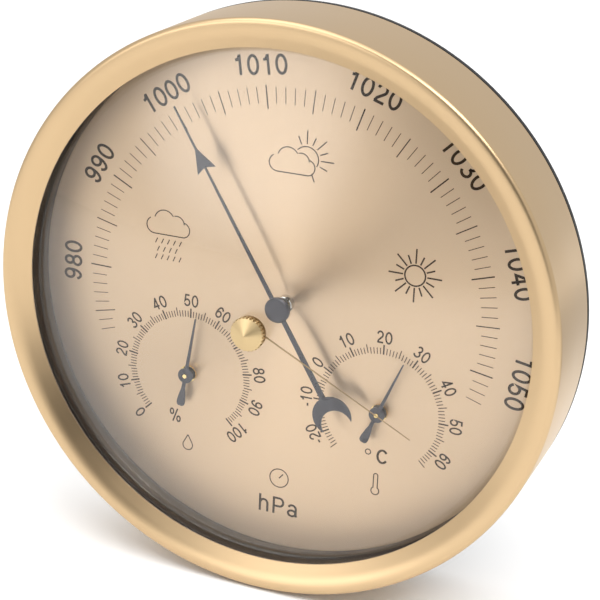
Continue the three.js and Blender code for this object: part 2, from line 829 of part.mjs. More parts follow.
function housing() {
  const flangeZ = spigotTop - housingWall;
  const cup = turned([[0, housingBack], [housingRadius, housingBack], [housingRadius, flangeZ],
    [housingRadius + housingFlange, flangeZ], [housingRadius + housingFlange, spigotTop],
    [housingInner, spigotTop], [housingInner, housingFloorTop], [0, housingFloorTop]], 28);
  const tools = [rod(adjusterNeck + runningFit, housingBack - 1, housingFloorTop + 1)];
  for (let i = 0; i < housingVents; i += 1) {
    const [x, y] = around(0.68 * housingRadius, (i + 0.5) * 360 / housingVents);
    tools.push(moved(rod(1.1, housingBack - 1, housingFloorTop + 1, 12), x, y));
  }
  return cut(cup, ...tools);
}

function adjuster() {
  const neckZ = housingBack - adjusterReach;
  const body = turned([[0, neckZ], [adjusterNeck, neckZ], [adjusterNeck, discZ], [adjusterDisc, discZ],
    [adjusterDisc, discTop], [0, discTop]]);
  const arm = plate(slotShape(coilArmWidth, 0, 0, coilPostAt, 0), discZ, discTop);
  const post = moved(rod(coilPostRadius, discZ, coilZ + coilWidth, 12), coilPostAt, 0);
  const slot = block([-adjusterDisc, adjusterDisc], [-adjusterSlotWidth / 2, adjusterSlotWidth / 2],
    [neckZ - 1, neckZ + adjusterSlotDepth]);
  return cut(join(body, arm, post), slot, rod(smallPinRadius + pressFit, discTop - 0.6, discTop + 1, 12));
}

function smallArbor() {
  const foot = discTop - 0.4;
  const step = discTop + seatGap;
  const pin = smallPinRadius - pressFit;
  const top = smallHandZ + smallHandThickness + smallPinRise;
  return turned([[0, foot], [pin, foot], [pin, step], [smallPinRadius, step], [smallPinRadius, coilZ],
    [colletRadius, coilZ], [colletRadius, coilZ + coilWidth], [smallPinRadius, coilZ + coilWidth],
    [smallPinRadius, top], [0, top]], 16);
}

function smallBush() {
  const inner = smallPinRadius + seatGap;
  const flangeZ = dialZ + seatGap;
  return ring([[inner, dialBack - smallBushFoot], [smallBushRadius, dialBack - smallBushFoot],
    [smallBushRadius, flangeZ], [smallBushFlange, flangeZ], [smallBushFlange, dialZ + smallBushRise],
    [inner, dialZ + smallBushRise]]);
}

function smallHand(reach) {
  const top = smallHandZ + smallHandThickness;
  const shoulder = smallHandTail - paddleWidth;
  const blade = mirrored([
    [0.1, -smallHandTail],
    [paddleWidth / 2, -shoulder],
    [smallPointerWidth / 2, -smallHubRadius + 0.2],
    [smallPointerWidth / 2, smallHubRadius],
    [smallTipWidth / 2, reach],
  ]);
  return cut(join(plate(blade, smallHandZ, top), rod(smallHubRadius, smallHandZ, top, 28)),
    rod(smallPinRadius + pressFit, smallHandZ - 1, top + 1, 16));
}

function coil() {
  return spiralStrip({
    inner: colletRadius + seatGap,
    outer: coilPostAt - coilPostRadius - seatGap - coilStrip,
    turns: coilTurns,
    strip: coilStrip,
    z0: coilZ,
    width: coilWidth,
  });
}

function smallInstrument(name, x, coilLook, reach, angle) {
  add(`${name}_housing`, housing(), 'blackPlastic', x, subdialY);
  add(`${name}_adjuster`, adjuster(), 'brass', x, subdialY);
  add(`${name}_coil`, coil(), coilLook, x, subdialY);
  add(`${name}_arbor`, smallArbor(), 'brass', x, subdialY);
  add(`${name}_bush`, smallBush(), 'brass', x, subdialY);
  add(`${name}_hand`, smallHand(reach), 'gunmetal', x, subdialY, readingTurn(angle));
}

smallInstrument('hygro', -subdialX, 'bimetal', hygroReach, hygroAngle);
smallInstrument('thermo', subdialX, 'steel', thermoReach, thermoAngle);

export default part;
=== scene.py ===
import json
import math

import bmesh
import bpy
from bpy.props import FloatProperty, FloatVectorProperty, IntProperty, PointerProperty
from bpy.types import Operator, Panel, PropertyGroup
from mathutils import Matrix, Vector


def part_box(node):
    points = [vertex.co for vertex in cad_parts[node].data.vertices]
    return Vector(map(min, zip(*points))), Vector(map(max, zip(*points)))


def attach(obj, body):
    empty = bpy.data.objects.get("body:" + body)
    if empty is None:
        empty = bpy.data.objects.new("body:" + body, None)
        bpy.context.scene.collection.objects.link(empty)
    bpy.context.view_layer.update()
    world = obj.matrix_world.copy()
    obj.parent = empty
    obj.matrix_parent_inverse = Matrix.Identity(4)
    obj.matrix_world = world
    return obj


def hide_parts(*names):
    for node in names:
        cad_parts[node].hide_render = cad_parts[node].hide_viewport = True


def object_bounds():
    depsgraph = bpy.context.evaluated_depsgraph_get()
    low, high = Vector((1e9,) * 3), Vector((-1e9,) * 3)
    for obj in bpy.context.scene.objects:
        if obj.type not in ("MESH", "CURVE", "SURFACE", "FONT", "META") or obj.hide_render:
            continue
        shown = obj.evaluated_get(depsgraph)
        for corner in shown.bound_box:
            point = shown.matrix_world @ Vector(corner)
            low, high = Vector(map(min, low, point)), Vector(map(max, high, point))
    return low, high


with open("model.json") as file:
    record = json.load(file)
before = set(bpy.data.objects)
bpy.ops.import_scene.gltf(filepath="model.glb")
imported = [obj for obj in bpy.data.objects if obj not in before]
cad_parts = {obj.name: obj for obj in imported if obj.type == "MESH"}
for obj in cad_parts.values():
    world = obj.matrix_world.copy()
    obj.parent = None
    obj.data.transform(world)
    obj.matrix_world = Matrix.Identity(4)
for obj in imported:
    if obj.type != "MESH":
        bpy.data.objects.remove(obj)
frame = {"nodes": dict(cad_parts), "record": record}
cad_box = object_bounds()

bl_info = {
    "name": "Round gold weather station",
    "version": (1, 0, 0),
    "blender": (4, 5, 0),
    "location": "3D View > Sidebar > Weather Station",
    "description": "Builds the case, dial, hands and fittings of a round wall weather station",
    "category": "Object",
}

# The pieces are drawn in millimetres, face up: x to the right, y to twelve o'clock, z out of the
# dial. STAND turns them upright and gives them their real size.
MM = 0.001
STAND = Matrix.Rotation(math.pi / 2, 4, "X") @ Matrix.Scale(MM, 4)

# Keeps a finished piece just inside the box of the CAD part, in spite of rounding
HAIR = 0.001

case_low, case_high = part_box("case_shell")
CASE_RADIUS = (case_high.x - case_low.x) / 2 / MM - HAIR
RIDGE_Z = -case_low.y / MM
CASE_REAR = -case_high.y / MM
DIAL_Z = -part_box("dial_plate")[0].y / MM
KNOB_TOP = 38.9 - HAIR

# The bezel, from the side wall in to its lip over the dial. It rolls over this share of the way
# and runs straight from there.
BEZEL_WIDTH, LIP_RISE = 6.6, 10.6
LIP_RADIUS = CASE_RADIUS - BEZEL_WIDTH
LIP_Z = DIAL_Z + LIP_RISE
ROLL_SHARE = 0.6

# The glass is part of a hollow sphere: the height of its top, its outer radius and its thickness
GLASS_TOP, GLASS_SPHERE, GLASS_THICKNESS = 35.0, 169.395, 1.5

# Middles of the thermometer and of the hygrometer
SUBDIAL = (23.5, -21.6)
HYGRO_MIDDLE = (-SUBDIAL[0], SUBDIAL[1])

# Bearings of the hands as photographed, clockwise from twelve o'clock in degrees
HAND_BEARING = -31.7
HYGRO_BEARING = 8.7
THERMO_BEARING = 22.5
SET_HAND_BEARING = 120.7

# Each scale: the value at twelve o'clock, and the degrees from one unit to the next
PRESSURE_SCALE = (1013, 2.7)
HYGRO_SCALE = (50, 2.7)
THERMO_SCALE = (20, 3.0)

# How far a cutter reaches past the solid that it cuts, how close corners are made one, and the
# length that counts as none
OVERCUT = 1.0
MERGE_GAP = 1e-4
TINY = 1e-6


# Mesh work

def tidy(bm):
    """Merges doubled corners and turns every face outward."""
    bmesh.ops.remove_doubles(bm, verts=bm.verts, dist=MERGE_GAP)
    bmesh.ops.recalc_face_normals(bm, faces=bm.faces)
    return bm


def spun(profile, steps=192, closed=True):
    """Turns a profile of (radius, height) points round the z axis."""
    bm = bmesh.new()
    corners = [bm.verts.new((r, 0.0, z)) for r, z in profile]
    ends = corners[1:] + corners[:1] if closed else corners[1:]
    edges = [bm.edges.new(pair) for pair in zip(corners, ends)]
    bmesh.ops.spin(bm, geom=corners + edges, cent=(0, 0, 0), axis=(0, 0, 1), angle=math.tau,
                   steps=steps, use_merge=True)
    return tidy(bm)


def lifted(bm, grown, height):
    """Moves the corners of what an extrusion has made up by a height."""
    corners = [v for v in grown if isinstance(v, bmesh.types.BMVert)]
    bmesh.ops.translate(bm, verts=corners, vec=(0, 0, height))


def slab(points, z0, z1):
    """A flat outline from z0 up to z1, as a closed solid."""
    bm = bmesh.new()
    face = bm.faces.new([bm.verts.new((x, y, z0)) for x, y in points])
    lifted(bm, bmesh.ops.extrude_face_region(bm, geom=[face])["geom"], z1 - z0)
    bmesh.ops.recalc_face_normals(bm, faces=bm.faces)
    return bm


def drum(radius, z0, z1, x=0.0, y=0.0, sides=48):
    """A plain cylinder standing on z0."""
    bm = bmesh.new()
    bmesh.ops.create_cone(bm, cap_ends=True, segments=sides, radius1=radius, radius2=radius,
                          depth=z1 - z0, matrix=Matrix.Translation((x, y, (z0 + z1) / 2)))
    return bm


def mirrored(half):
    """Outline from its right half, listed from the root to the tip."""
    return half + [(-x, y) for x, y in reversed(half)]


def arc(radius, middle, start, end, count):
    """Points (r, z) on an arc, with angles in degrees from the r axis."""
    turns = [math.radians(start + (end - start) * i / count) for i in range(count + 1)]
    return [(middle[0] + radius * math.cos(a), middle[1] + radius * math.sin(a)) for a in turns]


def turned(bm, bearing):
    """Turns a piece that points to twelve o'clock to a bearing, clockwise in degrees."""
    bm.transform(Matrix.Rotation(-math.radians(bearing), 4, "Z"))
    return bm


def moved(bm, x, y, z=0.0):
    """Slides a piece over the dial, and up by z."""
    bm.transform(Matrix.Translation((x, y, z)))
    return bm


# Share of the height that counts along the profile, so that a side wall has a direction too
HEIGHT_SHARE = 0.45


def brushed(bm, reach):
    """Maps u along the turned profile, so that a brushed finish knows its direction, and v once
    round."""
    brush = bm.loops.layers.uv.new("brush")
    for face in bm.faces:
        home = face.calc_center_median()
        start = math.atan2(home.y, home.x)
        for loop in face.loops:
            x, y = loop.vert.co.xy
            bend = (math.atan2(y, x) - start + math.pi) % math.tau - math.pi
            if math.hypot(x, y) < TINY:
                bend = 0.0
            along = math.hypot(x, y) + HEIGHT_SHARE * loop.vert.co.z
            loop[brush].uv = (along / reach, (start + bend) / math.tau)
    return bm


def shown(name, data):
    """A new object of the scene."""
    obj = bpy.data.objects.new(name, data)
    bpy.context.scene.collection.objects.link(obj)
    return obj


def to_mesh(bm, name):
    """Turns the bmesh into a mesh and frees it."""
    mesh = bpy.data.meshes.new(name)
    bm.to_mesh(mesh)
    bm.free()
    return mesh


def gathered(parts):
    """Puts several meshes into one."""
    whole = bmesh.new()
    for part in parts:
        mesh = to_mesh(part, "stock")
        whole.from_mesh(mesh)
        bpy.data.meshes.remove(mesh)
    return whole


def settled(obj):
    """The object's mesh with its modifiers applied, as a bmesh; the object itself goes."""
    graph = bpy.context.evaluated_depsgraph_get()
    mesh = bpy.data.meshes.new_from_object(obj.evaluated_get(graph))
    bm = bmesh.new()
    bm.from_mesh(mesh)
    bpy.data.meshes.remove(mesh)
    bpy.data.objects.remove(obj)
    return bm


def worked(base, tools, operation):
    """Joins tools to the base solid, or cuts them out of it."""
    stock = shown("stock", to_mesh(base, "stock"))
    cutters = [shown("cutter", to_mesh(tool, "cutter")) for tool in tools]
    for cutter in cutters:
        change = stock.modifiers.new("cut", "BOOLEAN")
        change.operation = operation
        change.solver = "EXACT"
        change.object = cutter
    result = settled(stock)
    for cutter in cutters:
        bpy.data.objects.remove(cutter)
    return tidy(result)


# Edges that bend more than this many degrees are rounded, and how close points are welded
ROUNDED_FROM = 30
WELD_GAP = 0.0005


def piece(name, bm, finish, body, nodes=(), crease=32.0, rounding=0.0):
    """Makes the finished object on its body, in place of its CAD nodes. Edges that bend more
    than crease degrees stay sharp. rounding is in millimetres."""
    bm.transform(STAND)
    mesh = to_mesh(bm, name)
    mesh.materials.append(finish)
    mesh.polygons.foreach_set("use_smooth", [True] * len(mesh.polygons))
    mesh.set_sharp_from_angle(angle=math.radians(crease))
    obj = shown(name, mesh)
    if rounding:
        edge = obj.modifiers.new("rounded edges", "BEVEL")
        edge.width = rounding * MM
        edge.segments = 2
        edge.limit_method = "ANGLE"
        edge.angle_limit = math.radians(ROUNDED_FROM)
        edge.harden_normals = True
        # Where bevels meet in an inner corner they leave points on top of each other
        join = obj.modifiers.new("joined corners", "WELD")
        join.merge_threshold = WELD_GAP * MM
    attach(obj, body)
    if nodes:
        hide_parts(*nodes)


# Materials

def noise(nodes, links, place, scale, detail):
    """A noise texture's value, with its scale from another node."""
    texture = nodes.new("ShaderNodeTexNoise")
    texture.inputs["Detail"].default_value = detail
    links.new(place, texture.inputs["Vector"])
    links.new(scale, texture.inputs["Scale"])
    return texture.outputs["Fac"]


def calculated(nodes, links, operation, *terms):
    """A math node's result. Each term is a number or another node's output."""
    node = nodes.new("ShaderNodeMath")
    node.operation = operation
    for socket, term in zip(node.inputs, terms):
        if isinstance(term, float):
            socket.default_value = term
        else:
            links.new(term, socket)
    return node.outputs["Value"]


def scaled(nodes, links, color, share):
    """A colour times a value, both from other nodes."""
    node = nodes.new("ShaderNodeVectorMath")
    node.operation = "SCALE"
    links.new(color, node.inputs[0])
    links.new(share, node.inputs["Scale"])
    return node.outputs["Vector"]


def map_range(nodes, links, source, ends, values, kind="LINEAR"):
    """Maps a value between two ends to one between two others."""
    node = nodes.new("ShaderNodeMapRange")
    node.interpolation_type = kind
    for name, value in zip(("From Min", "From Max", "To Min", "To Max"), (*ends, *values)):
        node.inputs[name].default_value = value
    links.new(source, node.inputs["Value"])
    return node.outputs["Result"]


def ramp(nodes, links, source, operation, at, ends, values):
    """A soft step of the value, between two distances from a point or two closenesses to a
    direction."""
    along = nodes.new("ShaderNodeVectorMath")
    along.operation = operation
    along.inputs[1].default_value = at
    links.new(source, along.inputs[0])
    return map_range(nodes, links, along.outputs["Value"], ends, values, "SMOOTHSTEP")


GRAIN_INPUTS = ("Color", "Tone", "Tone Scale", "Roughness", "Spread", "Grain Scale")


def grain_group():
    """Fine grain and slow tone changes that all finishes of the station share."""
    if "surface grain" in bpy.data.node_groups:
        return bpy.data.node_groups["surface grain"]
    group = bpy.data.node_groups.new("surface grain", "ShaderNodeTree")
    for way, names in (("INPUT", GRAIN_INPUTS), ("OUTPUT", ("Color", "Roughness", "Grain"))):
        for name in names:
            kind = "NodeSocketColor" if name == "Color" else "NodeSocketFloat"
            group.interface.new_socket(name, in_out=way, socket_type=kind)
    nodes, links = group.nodes, group.links
    source = nodes.new("NodeGroupInput").outputs
    result = nodes.new("NodeGroupOutput").inputs
    place = nodes.new("ShaderNodeTexCoord").outputs["Object"]
    slow = noise(nodes, links, place, source["Tone Scale"], 3.0)
    swing = map_range(nodes, links, slow, (0.3, 0.7), (-1.0, 1.0))
    tone = calculated(nodes, links, "MULTIPLY_ADD", swing, source["Tone"], 1.0)
    rough = calculated(nodes, links, "MULTIPLY_ADD", swing, source["Spread"], source["Roughness"])
    links.new(scaled(nodes, links, source["Color"], tone), result["Color"])
    links.new(rough, result["Roughness"])
    links.new(noise(nodes, links, place, source["Grain Scale"], 2.0), result["Grain"])
    return group


def grained(name, color, metallic, roughness, tone, tone_scale, spread, grain_scale, grain_height,
            gloss=0.5):
    """A procedural finish. tone and spread are how far the colour and the roughness change, and
    the grain's height is in millimetres."""
    if name in bpy.data.materials:
        return bpy.data.materials[name]
    material = bpy.data.materials.new(name)
    material.use_nodes = True
    nodes, links = material.node_tree.nodes, material.node_tree.links
    shader = nodes["Principled BSDF"]
    shader.inputs["Metallic"].default_value = metallic
    shader.inputs["Specular IOR Level"].default_value = gloss
    group = nodes.new("ShaderNodeGroup")
    group.node_tree = grain_group()
    values = ((*color[:3], 1), tone, tone_scale, roughness, spread, grain_scale)
    for socket, value in zip(GRAIN_INPUTS, values):
        group.inputs[socket].default_value = value
    links.new(group.outputs["Color"], shader.inputs["Base Color"])
    links.new(group.outputs["Roughness"], shader.inputs["Roughness"])
    bump = nodes.new("ShaderNodeBump")
    bump.inputs["Strength"].default_value = 1.0
    bump.inputs["Distance"].default_value = grain_height * MM
    links.new(group.outputs["Grain"], bump.inputs["Height"])
    links.new(bump.outputs["Normal"], shader.inputs["Normal"])
    return material


def stretched(material, amount):
    """Stretches a material's gloss along the radius, across its circular brushing."""
    nodes, links = material.node_tree.nodes, material.node_tree.links
    shader = nodes["Principled BSDF"]
    shader.inputs["Anisotropic"].default_value = amount
    if not shader.inputs["Tangent"].is_linked:
        along = nodes.new("ShaderNodeTangent")
        along.direction_type = "UV_MAP"
        along.uv_map = "brush"
        links.new(along.outputs["Tangent"], shader.inputs["Tangent"])
    return material


def clear_glass(colors):
    """Clear glass that lets the studio light through to the dial."""
    if "clear glass" in bpy.data.materials:
        return bpy.data.materials["clear glass"]
    material = bpy.data.materials.new("clear glass")
    material.use_nodes = True
    nodes, links = material.node_tree.nodes, material.node_tree.links
    shader = nodes["Principled BSDF"]
    for name, value in (("Base Color", (*colors.glass[:3], 1)), ("Roughness", 0.0), ("IOR", 1.4),
                        ("Metallic", 0.0), ("Transmission Weight", 1.0)):
        shader.inputs[name].default_value = value
    open_way = nodes.new("ShaderNodeBsdfTransparent")
    rays = nodes.new("ShaderNodeLightPath")
    mix = nodes.new("ShaderNodeMixShader")
    links.new(rays.outputs["Is Shadow Ray"], mix.inputs["Fac"])
    links.new(shader.outputs["BSDF"], mix.inputs[1])
    links.new(open_way.outputs["BSDF"], mix.inputs[2])
    links.new(mix.outputs["Shader"], nodes["Material Output"].inputs["Surface"])
    return material


# Colours of the metals and of the rubber that the panel does not show
BLACK_RUBBER = (0.02, 0.02, 0.02)
BRIGHT_STEEL = (0.66, 0.63, 0.59)
TURNED_STEEL = (0.5, 0.51, 0.52)
SATIN_NICKEL = (0.6, 0.585, 0.54)
BIMETAL = (0.45, 0.3, 0.16)
GREY_STRIP = (0.16, 0.18, 0.22)


def finish_values(colors):
    """For each slot: name, colour, metallic, roughness, tone, tone scale, spread, grain scale,
    grain height in millimetres and, where it isn't the usual one, gloss."""
    return {
        "case_gold": ("satin gold", colors.gold, 1.0, 0.31, 0.02, 30, 0.03, 3000, 0.0006),
        "dial_champagne": ("champagne brushed metal", colors.dial, 0.9, 0.35, 0.03, 25, 0.02, 2500,
                           0.0002),
        "brass_polished": ("polished brass", colors.brass, 1.0, 0.2, 0.04, 120, 0.05, 4000, 0.001),
        "brass_turned": ("turned brass", colors.knob, 1.0, 0.42, 0.03, 200, 0.03, 1500, 0.001),
        "brass_dark": ("darkened brass", colors.dark_brass, 1.0, 0.38, 0.03, 200, 0.03, 1500,
                       0.001),
        "hand_gunmetal": ("blue-grey hand paint", colors.hand, 0.5, 0.3, 0.05, 200, 0.03, 900,
                          0.0004),
        "cover_black": ("black moulded plastic", colors.cover, 0.0, 0.6, 0.12, 60, 0.06, 1800, 0.02,
                        0.3),
        "ring_dark": ("dark ring plastic", colors.ring, 0.0, 0.38, 0.08, 60, 0.05, 2500, 0.004),
        "gasket_rubber": ("black rubber", BLACK_RUBBER, 0.0, 0.8, 0.1, 80, 0.05, 1500, 0.02),
        "steel_bright": ("bright steel", BRIGHT_STEEL, 1.0, 0.22, 0.03, 150, 0.04, 3000, 0.001),
        "steel_fine": ("turned steel", TURNED_STEEL, 1.0, 0.3, 0.05, 150, 0.08, 4000, 0.002),
        "plate_nickel": ("satin nickel", SATIN_NICKEL, 1.0, 0.28, 0.05, 80, 0.06, 3000, 0.002),
        "coil_bimetal": ("rolled bimetal", BIMETAL, 1.0, 0.42, 0.1, 200, 0.08, 3000, 0.003),
        "coil_blued": ("rolled grey strip", GREY_STRIP, 0.9, 0.4, 0.1, 200, 0.08, 3000, 0.003),
        "ink_dark": ("dark printing ink", colors.ink, 0.0, 0.5, 0.08, 300, 0.05, 1200, 0.001, 0.06),
        "ink_fine": ("fine printing ink", colors.fine_ink, 0.0, 0.5, 0.08, 300, 0.05, 1200, 0.001,
                     0.06),
    }


# How far the circular brushing of a finish stretches its gloss along the radius
BRUSHING = {"case_gold": 0.5, "dial_champagne": 0.93, "brass_turned": 0.6}


def finish_for(slot):
    """The finish of a record slot, or of a piece of the scene alone."""
    colors = bpy.context.scene.station_colors
    if slot == "clear_glass":
        return clear_glass(colors)
    material = grained(*finish_values(colors)[slot])
    return stretched(material, BRUSHING[slot]) if slot in BRUSHING else material


def case_face(share):
    """The face of the bezel, rolled and then straight: share 0 is the ridge, 1 the lip."""
    start = CASE_RADIUS - bpy.context.scene.station_sizes.corner_radius / MM
    fall = share * share / (2 * ROLL_SHARE) if share < ROLL_SHARE else share - ROLL_SHARE / 2
    return (start - (start - LIP_RADIUS) * share,
            RIDGE_Z - (RIDGE_Z - LIP_Z) * fall / (1 - ROLL_SHARE / 2))


def dome(radius, depth):
    """Height of the glass at that distance from the axis, at a depth under its front face."""
    sphere = GLASS_SPHERE - depth
    return GLASS_TOP - GLASS_SPHERE + math.sqrt(sphere * sphere - radius * radius)


class StationSizes(PropertyGroup):
    corner_radius: FloatProperty(
        name="Case corner", description="Radius of the corner between side wall and bezel",
        default=0.0011, min=0.0003, max=0.002, unit="LENGTH")
    case_wall: FloatProperty(
        name="Case wall", description="Thickness of the drawn gold sheet",
        default=0.001, min=0.0005, max=0.0012, unit="LENGTH")
    ink_height: FloatProperty(
        name="Ink height", description="Height of the print above the dial",
        default=0.00002, min=0.00001, max=0.0001, unit="LENGTH")
    label_height: FloatProperty(
        name="Pressure numerals", description="Height of the numerals of the pressure scale",
        default=0.0045, min=0.002, max=0.005, unit="LENGTH")
    small_label_height: FloatProperty(
        name="Small numerals", description="Height of the numerals of the small scales",
        default=0.0029, min=0.0015, max=0.0035, unit="LENGTH")
    hand_rounding: FloatProperty(
        name="Hand edge", description="Rounding of the edges of the hands",
        default=0.00006, min=0.00001, max=0.0001, unit="LENGTH")
    knob_teeth: IntProperty(
        name="Knob teeth", description="Number of ribs round the set knob",
        default=28, min=16, max=48)


def shade(name, description, value):
    """A colour that the panel shows."""
    return FloatVectorProperty(name=name, description=description, default=value, size=3,
                               min=0.0, max=1.0, subtype="COLOR")


class StationColors(PropertyGroup):
    gold: shade("Case gold", "Colour of the case and bezel", (0.58, 0.416, 0.24))
    dial: shade("Dial", "Colour of the brushed dial", (0.59, 0.43, 0.287))
    brass: shade("Brass", "Colour of knob, pins and bushes", (0.78, 0.57, 0.24))
    knob: shade("Set knob", "Colour of the turned set knob", (0.6, 0.45, 0.245))
    # On the foot of the set knob this darker brass is partly painted shade under the knob's rim
    dark_brass: shade("Dark brass", "Colour of the set hand and the foot of its knob",
                      (0.3, 0.2, 0.09))
    hand: shade("Hands", "Colour of the pressure hand and the small hands", (0.04, 0.037, 0.044))
    ink: shade("Ink", "Colour of numerals and long marks", (0.036, 0.017, 0.006))
    fine_ink: shade("Fine ink", "Colour of fine marks and weather signs", (0.042, 0.02, 0.008))
    ring: shade("Inner ring", "Colour of the ring between dial and glass", (0.028, 0.022, 0.018))
    cover: shade("Rear cover", "Colour of the moulded rear cover", (0.012, 0.012, 0.013))
    glass: shade("Glass", "Tint of the front glass", (0.99, 1.0, 1.0))
    floor: shade("Floor", "Colour of the studio floor", (0.93, 0.93, 0.93))


# Pieces

class STATION_OT_case(Operator):
    """Builds the gold case: side wall, ridge and rolled bezel in one drawn piece"""
    bl_idname = "station.case"
    bl_label = "Case and Bezel"

    def execute(self, context):
        sizes = context.scene.station_sizes
        corner, wall = sizes.corner_radius / MM, sizes.case_wall / MM
        inner, corner_z = CASE_RADIUS - wall, RIDGE_Z - corner
        rear_bevel, mid_wall, corner_steps, face_steps = 0.15, 14.0, 8, 12
        ledge, ledge_depth, lip_edge = 0.32, 0.05, LIP_Z - 0.3 * wall
        outside = arc(corner, (CASE_RADIUS - corner, corner_z), 0, 90, corner_steps)
        face = [case_face(i / face_steps) for i in range(1, face_steps + 1)]
        under = [case_face(share) for share in (0.84, 0.66, 0.4)]
        profile = [(CASE_RADIUS, CASE_REAR + rear_bevel), (CASE_RADIUS, mid_wall), *outside, *face,
                   (LIP_RADIUS, LIP_Z - ledge_depth), (LIP_RADIUS + ledge, LIP_Z - ledge_depth),
                   (LIP_RADIUS + ledge, lip_edge), (LIP_RADIUS + 0.9 * wall, lip_edge),
                   *[(r, z - wall) for r, z in under],
                   (inner - corner, RIDGE_Z - 1.1 * wall), (inner, corner_z - 0.5 * wall),
                   (inner, CASE_REAR), (CASE_RADIUS - rear_bevel, CASE_REAR)]
        case = brushed(spun(profile, 256), CASE_RADIUS)
        piece("gold_case", case, finish_for("case_gold"), "case", ["case_shell"],
              crease=40)
        low, high, outer = LIP_Z - 0.35, LIP_Z - 0.07, LIP_RADIUS + 0.3
        edge = [(LIP_RADIUS, low), (outer, low), (outer, high), (LIP_RADIUS, high)]
        piece("bezel_cut_edge", spun(edge, 256), finish_for("steel_bright"), "case")
        return {"FINISHED"}


class STATION_OT_glass(Operator):
    """Builds the domed front glass with the hole for the set knob"""
    bl_idname = "station.glass"
    bl_label = "Front Glass"

    def execute(self, context):
        hole, edge, rings = 2.0, 61.8, 20
        radii = [hole + (edge - hole) * i / rings for i in range(rings + 1)]
        below = [(r, dome(r, GLASS_THICKNESS)) for r in radii]
        above = [(r, dome(r, 0)) for r in reversed(radii)]
        piece("glass_dome", spun(below + above), finish_for("clear_glass"), "case",
              ["front_glass"], crease=50)
        return {"FINISHED"}


class STATION_OT_inner_ring(Operator):
    """Builds the dark stepped ring between the dial and the glass"""
    bl_idname = "station.inner_ring"
    bl_label = "Inner Ring"

    def execute(self, context):
        outer, recess, bore, foot_bore = 64.7, 62.2, 60.9, 60.4
        foot, step, seat, rim = DIAL_Z + 0.3, 18.4, 21.41, 24.11
        profile = [(foot_bore, foot), (outer, foot), (outer, rim), (recess, rim), (recess, seat),
                   (bore + 0.1, seat), (bore, seat - 0.1), (bore, step + 0.65),
                   (bore - 0.08, step + 0.5), (foot_bore + 0.08, step + 0.15), (foot_bore, step)]
        piece("inner_ring", spun(profile), finish_for("ring_dark"), "case",
              ["spacer_ring"])
        return {"FINISHED"}


class STATION_OT_dial(Operator):
    """Builds the dial disc with its three holes and the direction of its brushing"""
    bl_idname = "station.dial"
    bl_label = "Dial"

    def execute(self, context):
        thickness, bore, small_bore = 0.8, 1.85, 1.65
        edge = -case_low.x / MM - 1.4
        low = DIAL_Z - thickness
        radii = [bore, 3, 5, *range(8, 61, 4), edge]
        disc = spun([(bore, low), *[(r, DIAL_Z) for r in radii], (edge, low)])
        holes = [drum(small_bore, low - OVERCUT, DIAL_Z + OVERCUT, x, y)
                 for x, y in (HYGRO_MIDDLE, SUBDIAL)]
        disc = brushed(worked(disc, holes, "DIFFERENCE"), edge)
        piece("dial_disc", disc, finish_for("dial_champagne"), "case",
              ["dial_plate"])
        return {"FINISHED"}


def bow(x, y, across, up, start, end):
    """Part of an oval: angles in degrees, anticlockwise from the right."""
    count = max(3, round(abs(end - start) / 15))
    turns = [math.radians(start + (end - start) * i / count) for i in range(count + 1)]
    return [(x + across * math.cos(a), y + up * math.sin(a)) for a in turns]


# Middle lines of the plain numerals and unit signs, one unit high over the baseline. Then the
# step from a sign to the next, the part of the last one that is empty, and the width of a line.
SIGN_LINES = {
    "0": [bow(0.26, 0.5, 0.26, 0.44, 0, 360)],
    "1": [[(0.32, 0.0), (0.32, 1.0)], [(0.07, 0.73), (0.18, 0.755), (0.25, 0.82), (0.29, 0.95)]],
    "2": [bow(0.26, 0.69, 0.235, 0.25, 175, -35) + [(0.12, 0.23), (0.04, 0.06)],
          [(0.0, 0.06), (0.54, 0.06)]],
    "3": [bow(0.25, 0.72, 0.21, 0.22, 160, -90), bow(0.25, 0.28, 0.25, 0.22, 90, -165)],
    "4": [[(0.55, 0.29), (0.02, 0.29), (0.38, 0.95)], [(0.38, 0.0), (0.38, 1.0)]],
    "5": [[(0.48, 0.94), (0.12, 0.94), (0.06, 0.47)] + bow(0.26, 0.32, 0.25, 0.26, 130, -160)],
    "6": [bow(0.27, 0.31, 0.235, 0.25, 0, 360), bow(0.3, 0.46, 0.265, 0.48, 35, 195)],
    "7": [[(0.0, 0.94), (0.52, 0.94), (0.36, 0.68), (0.25, 0.38), (0.2, 0.0)]],
    "8": [bow(0.26, 0.72, 0.205, 0.22, 0, 360), bow(0.26, 0.28, 0.25, 0.225, 0, 360)],
    "9": [bow(0.25, 0.69, 0.235, 0.25, 0, 360), bow(0.22, 0.54, 0.265, 0.48, -145, 15)],
    "-": [[(0.02, 0.36), (0.3, 0.36)]],
    "C": [bow(0.33, 0.5, 0.3, 0.44, 35, 325)],
    "%": [bow(0.17, 0.73, 0.14, 0.2, 0, 360), bow(0.75, 0.22, 0.14, 0.2, 0, 360),
          [(0.66, 0.98), (0.26, -0.02)]],
    "h": [[(0.05, 0.0), (0.05, 1.0)], bow(0.26, 0.46, 0.2, 0.24, 180, 0) + [(0.46, 0.0)]],
    "P": [[(0.06, 0.0), (0.06, 0.94), (0.36, 0.94)] + bow(0.36, 0.7, 0.21, 0.24, 75, -90)
          + [(0.06, 0.46)]],
    "a": [bow(0.24, 0.5, 0.2, 0.2, 160, 0) + [(0.44, 0.12), (0.5, 0.04)],
          bow(0.23, 0.22, 0.2, 0.17, 0, 360)],
}
SIGN_STEPS = {"-": 0.47, "%": 1.18, "h": 0.74, "P": 0.82, "a": 0.74}
USUAL_STEP = 0.775
LAST_GAP = 0.25
LINE_SHARE = 0.145


def ink_height():
    """Height of the print over the dial in millimetres."""
    return bpy.context.scene.station_sizes.ink_height / MM


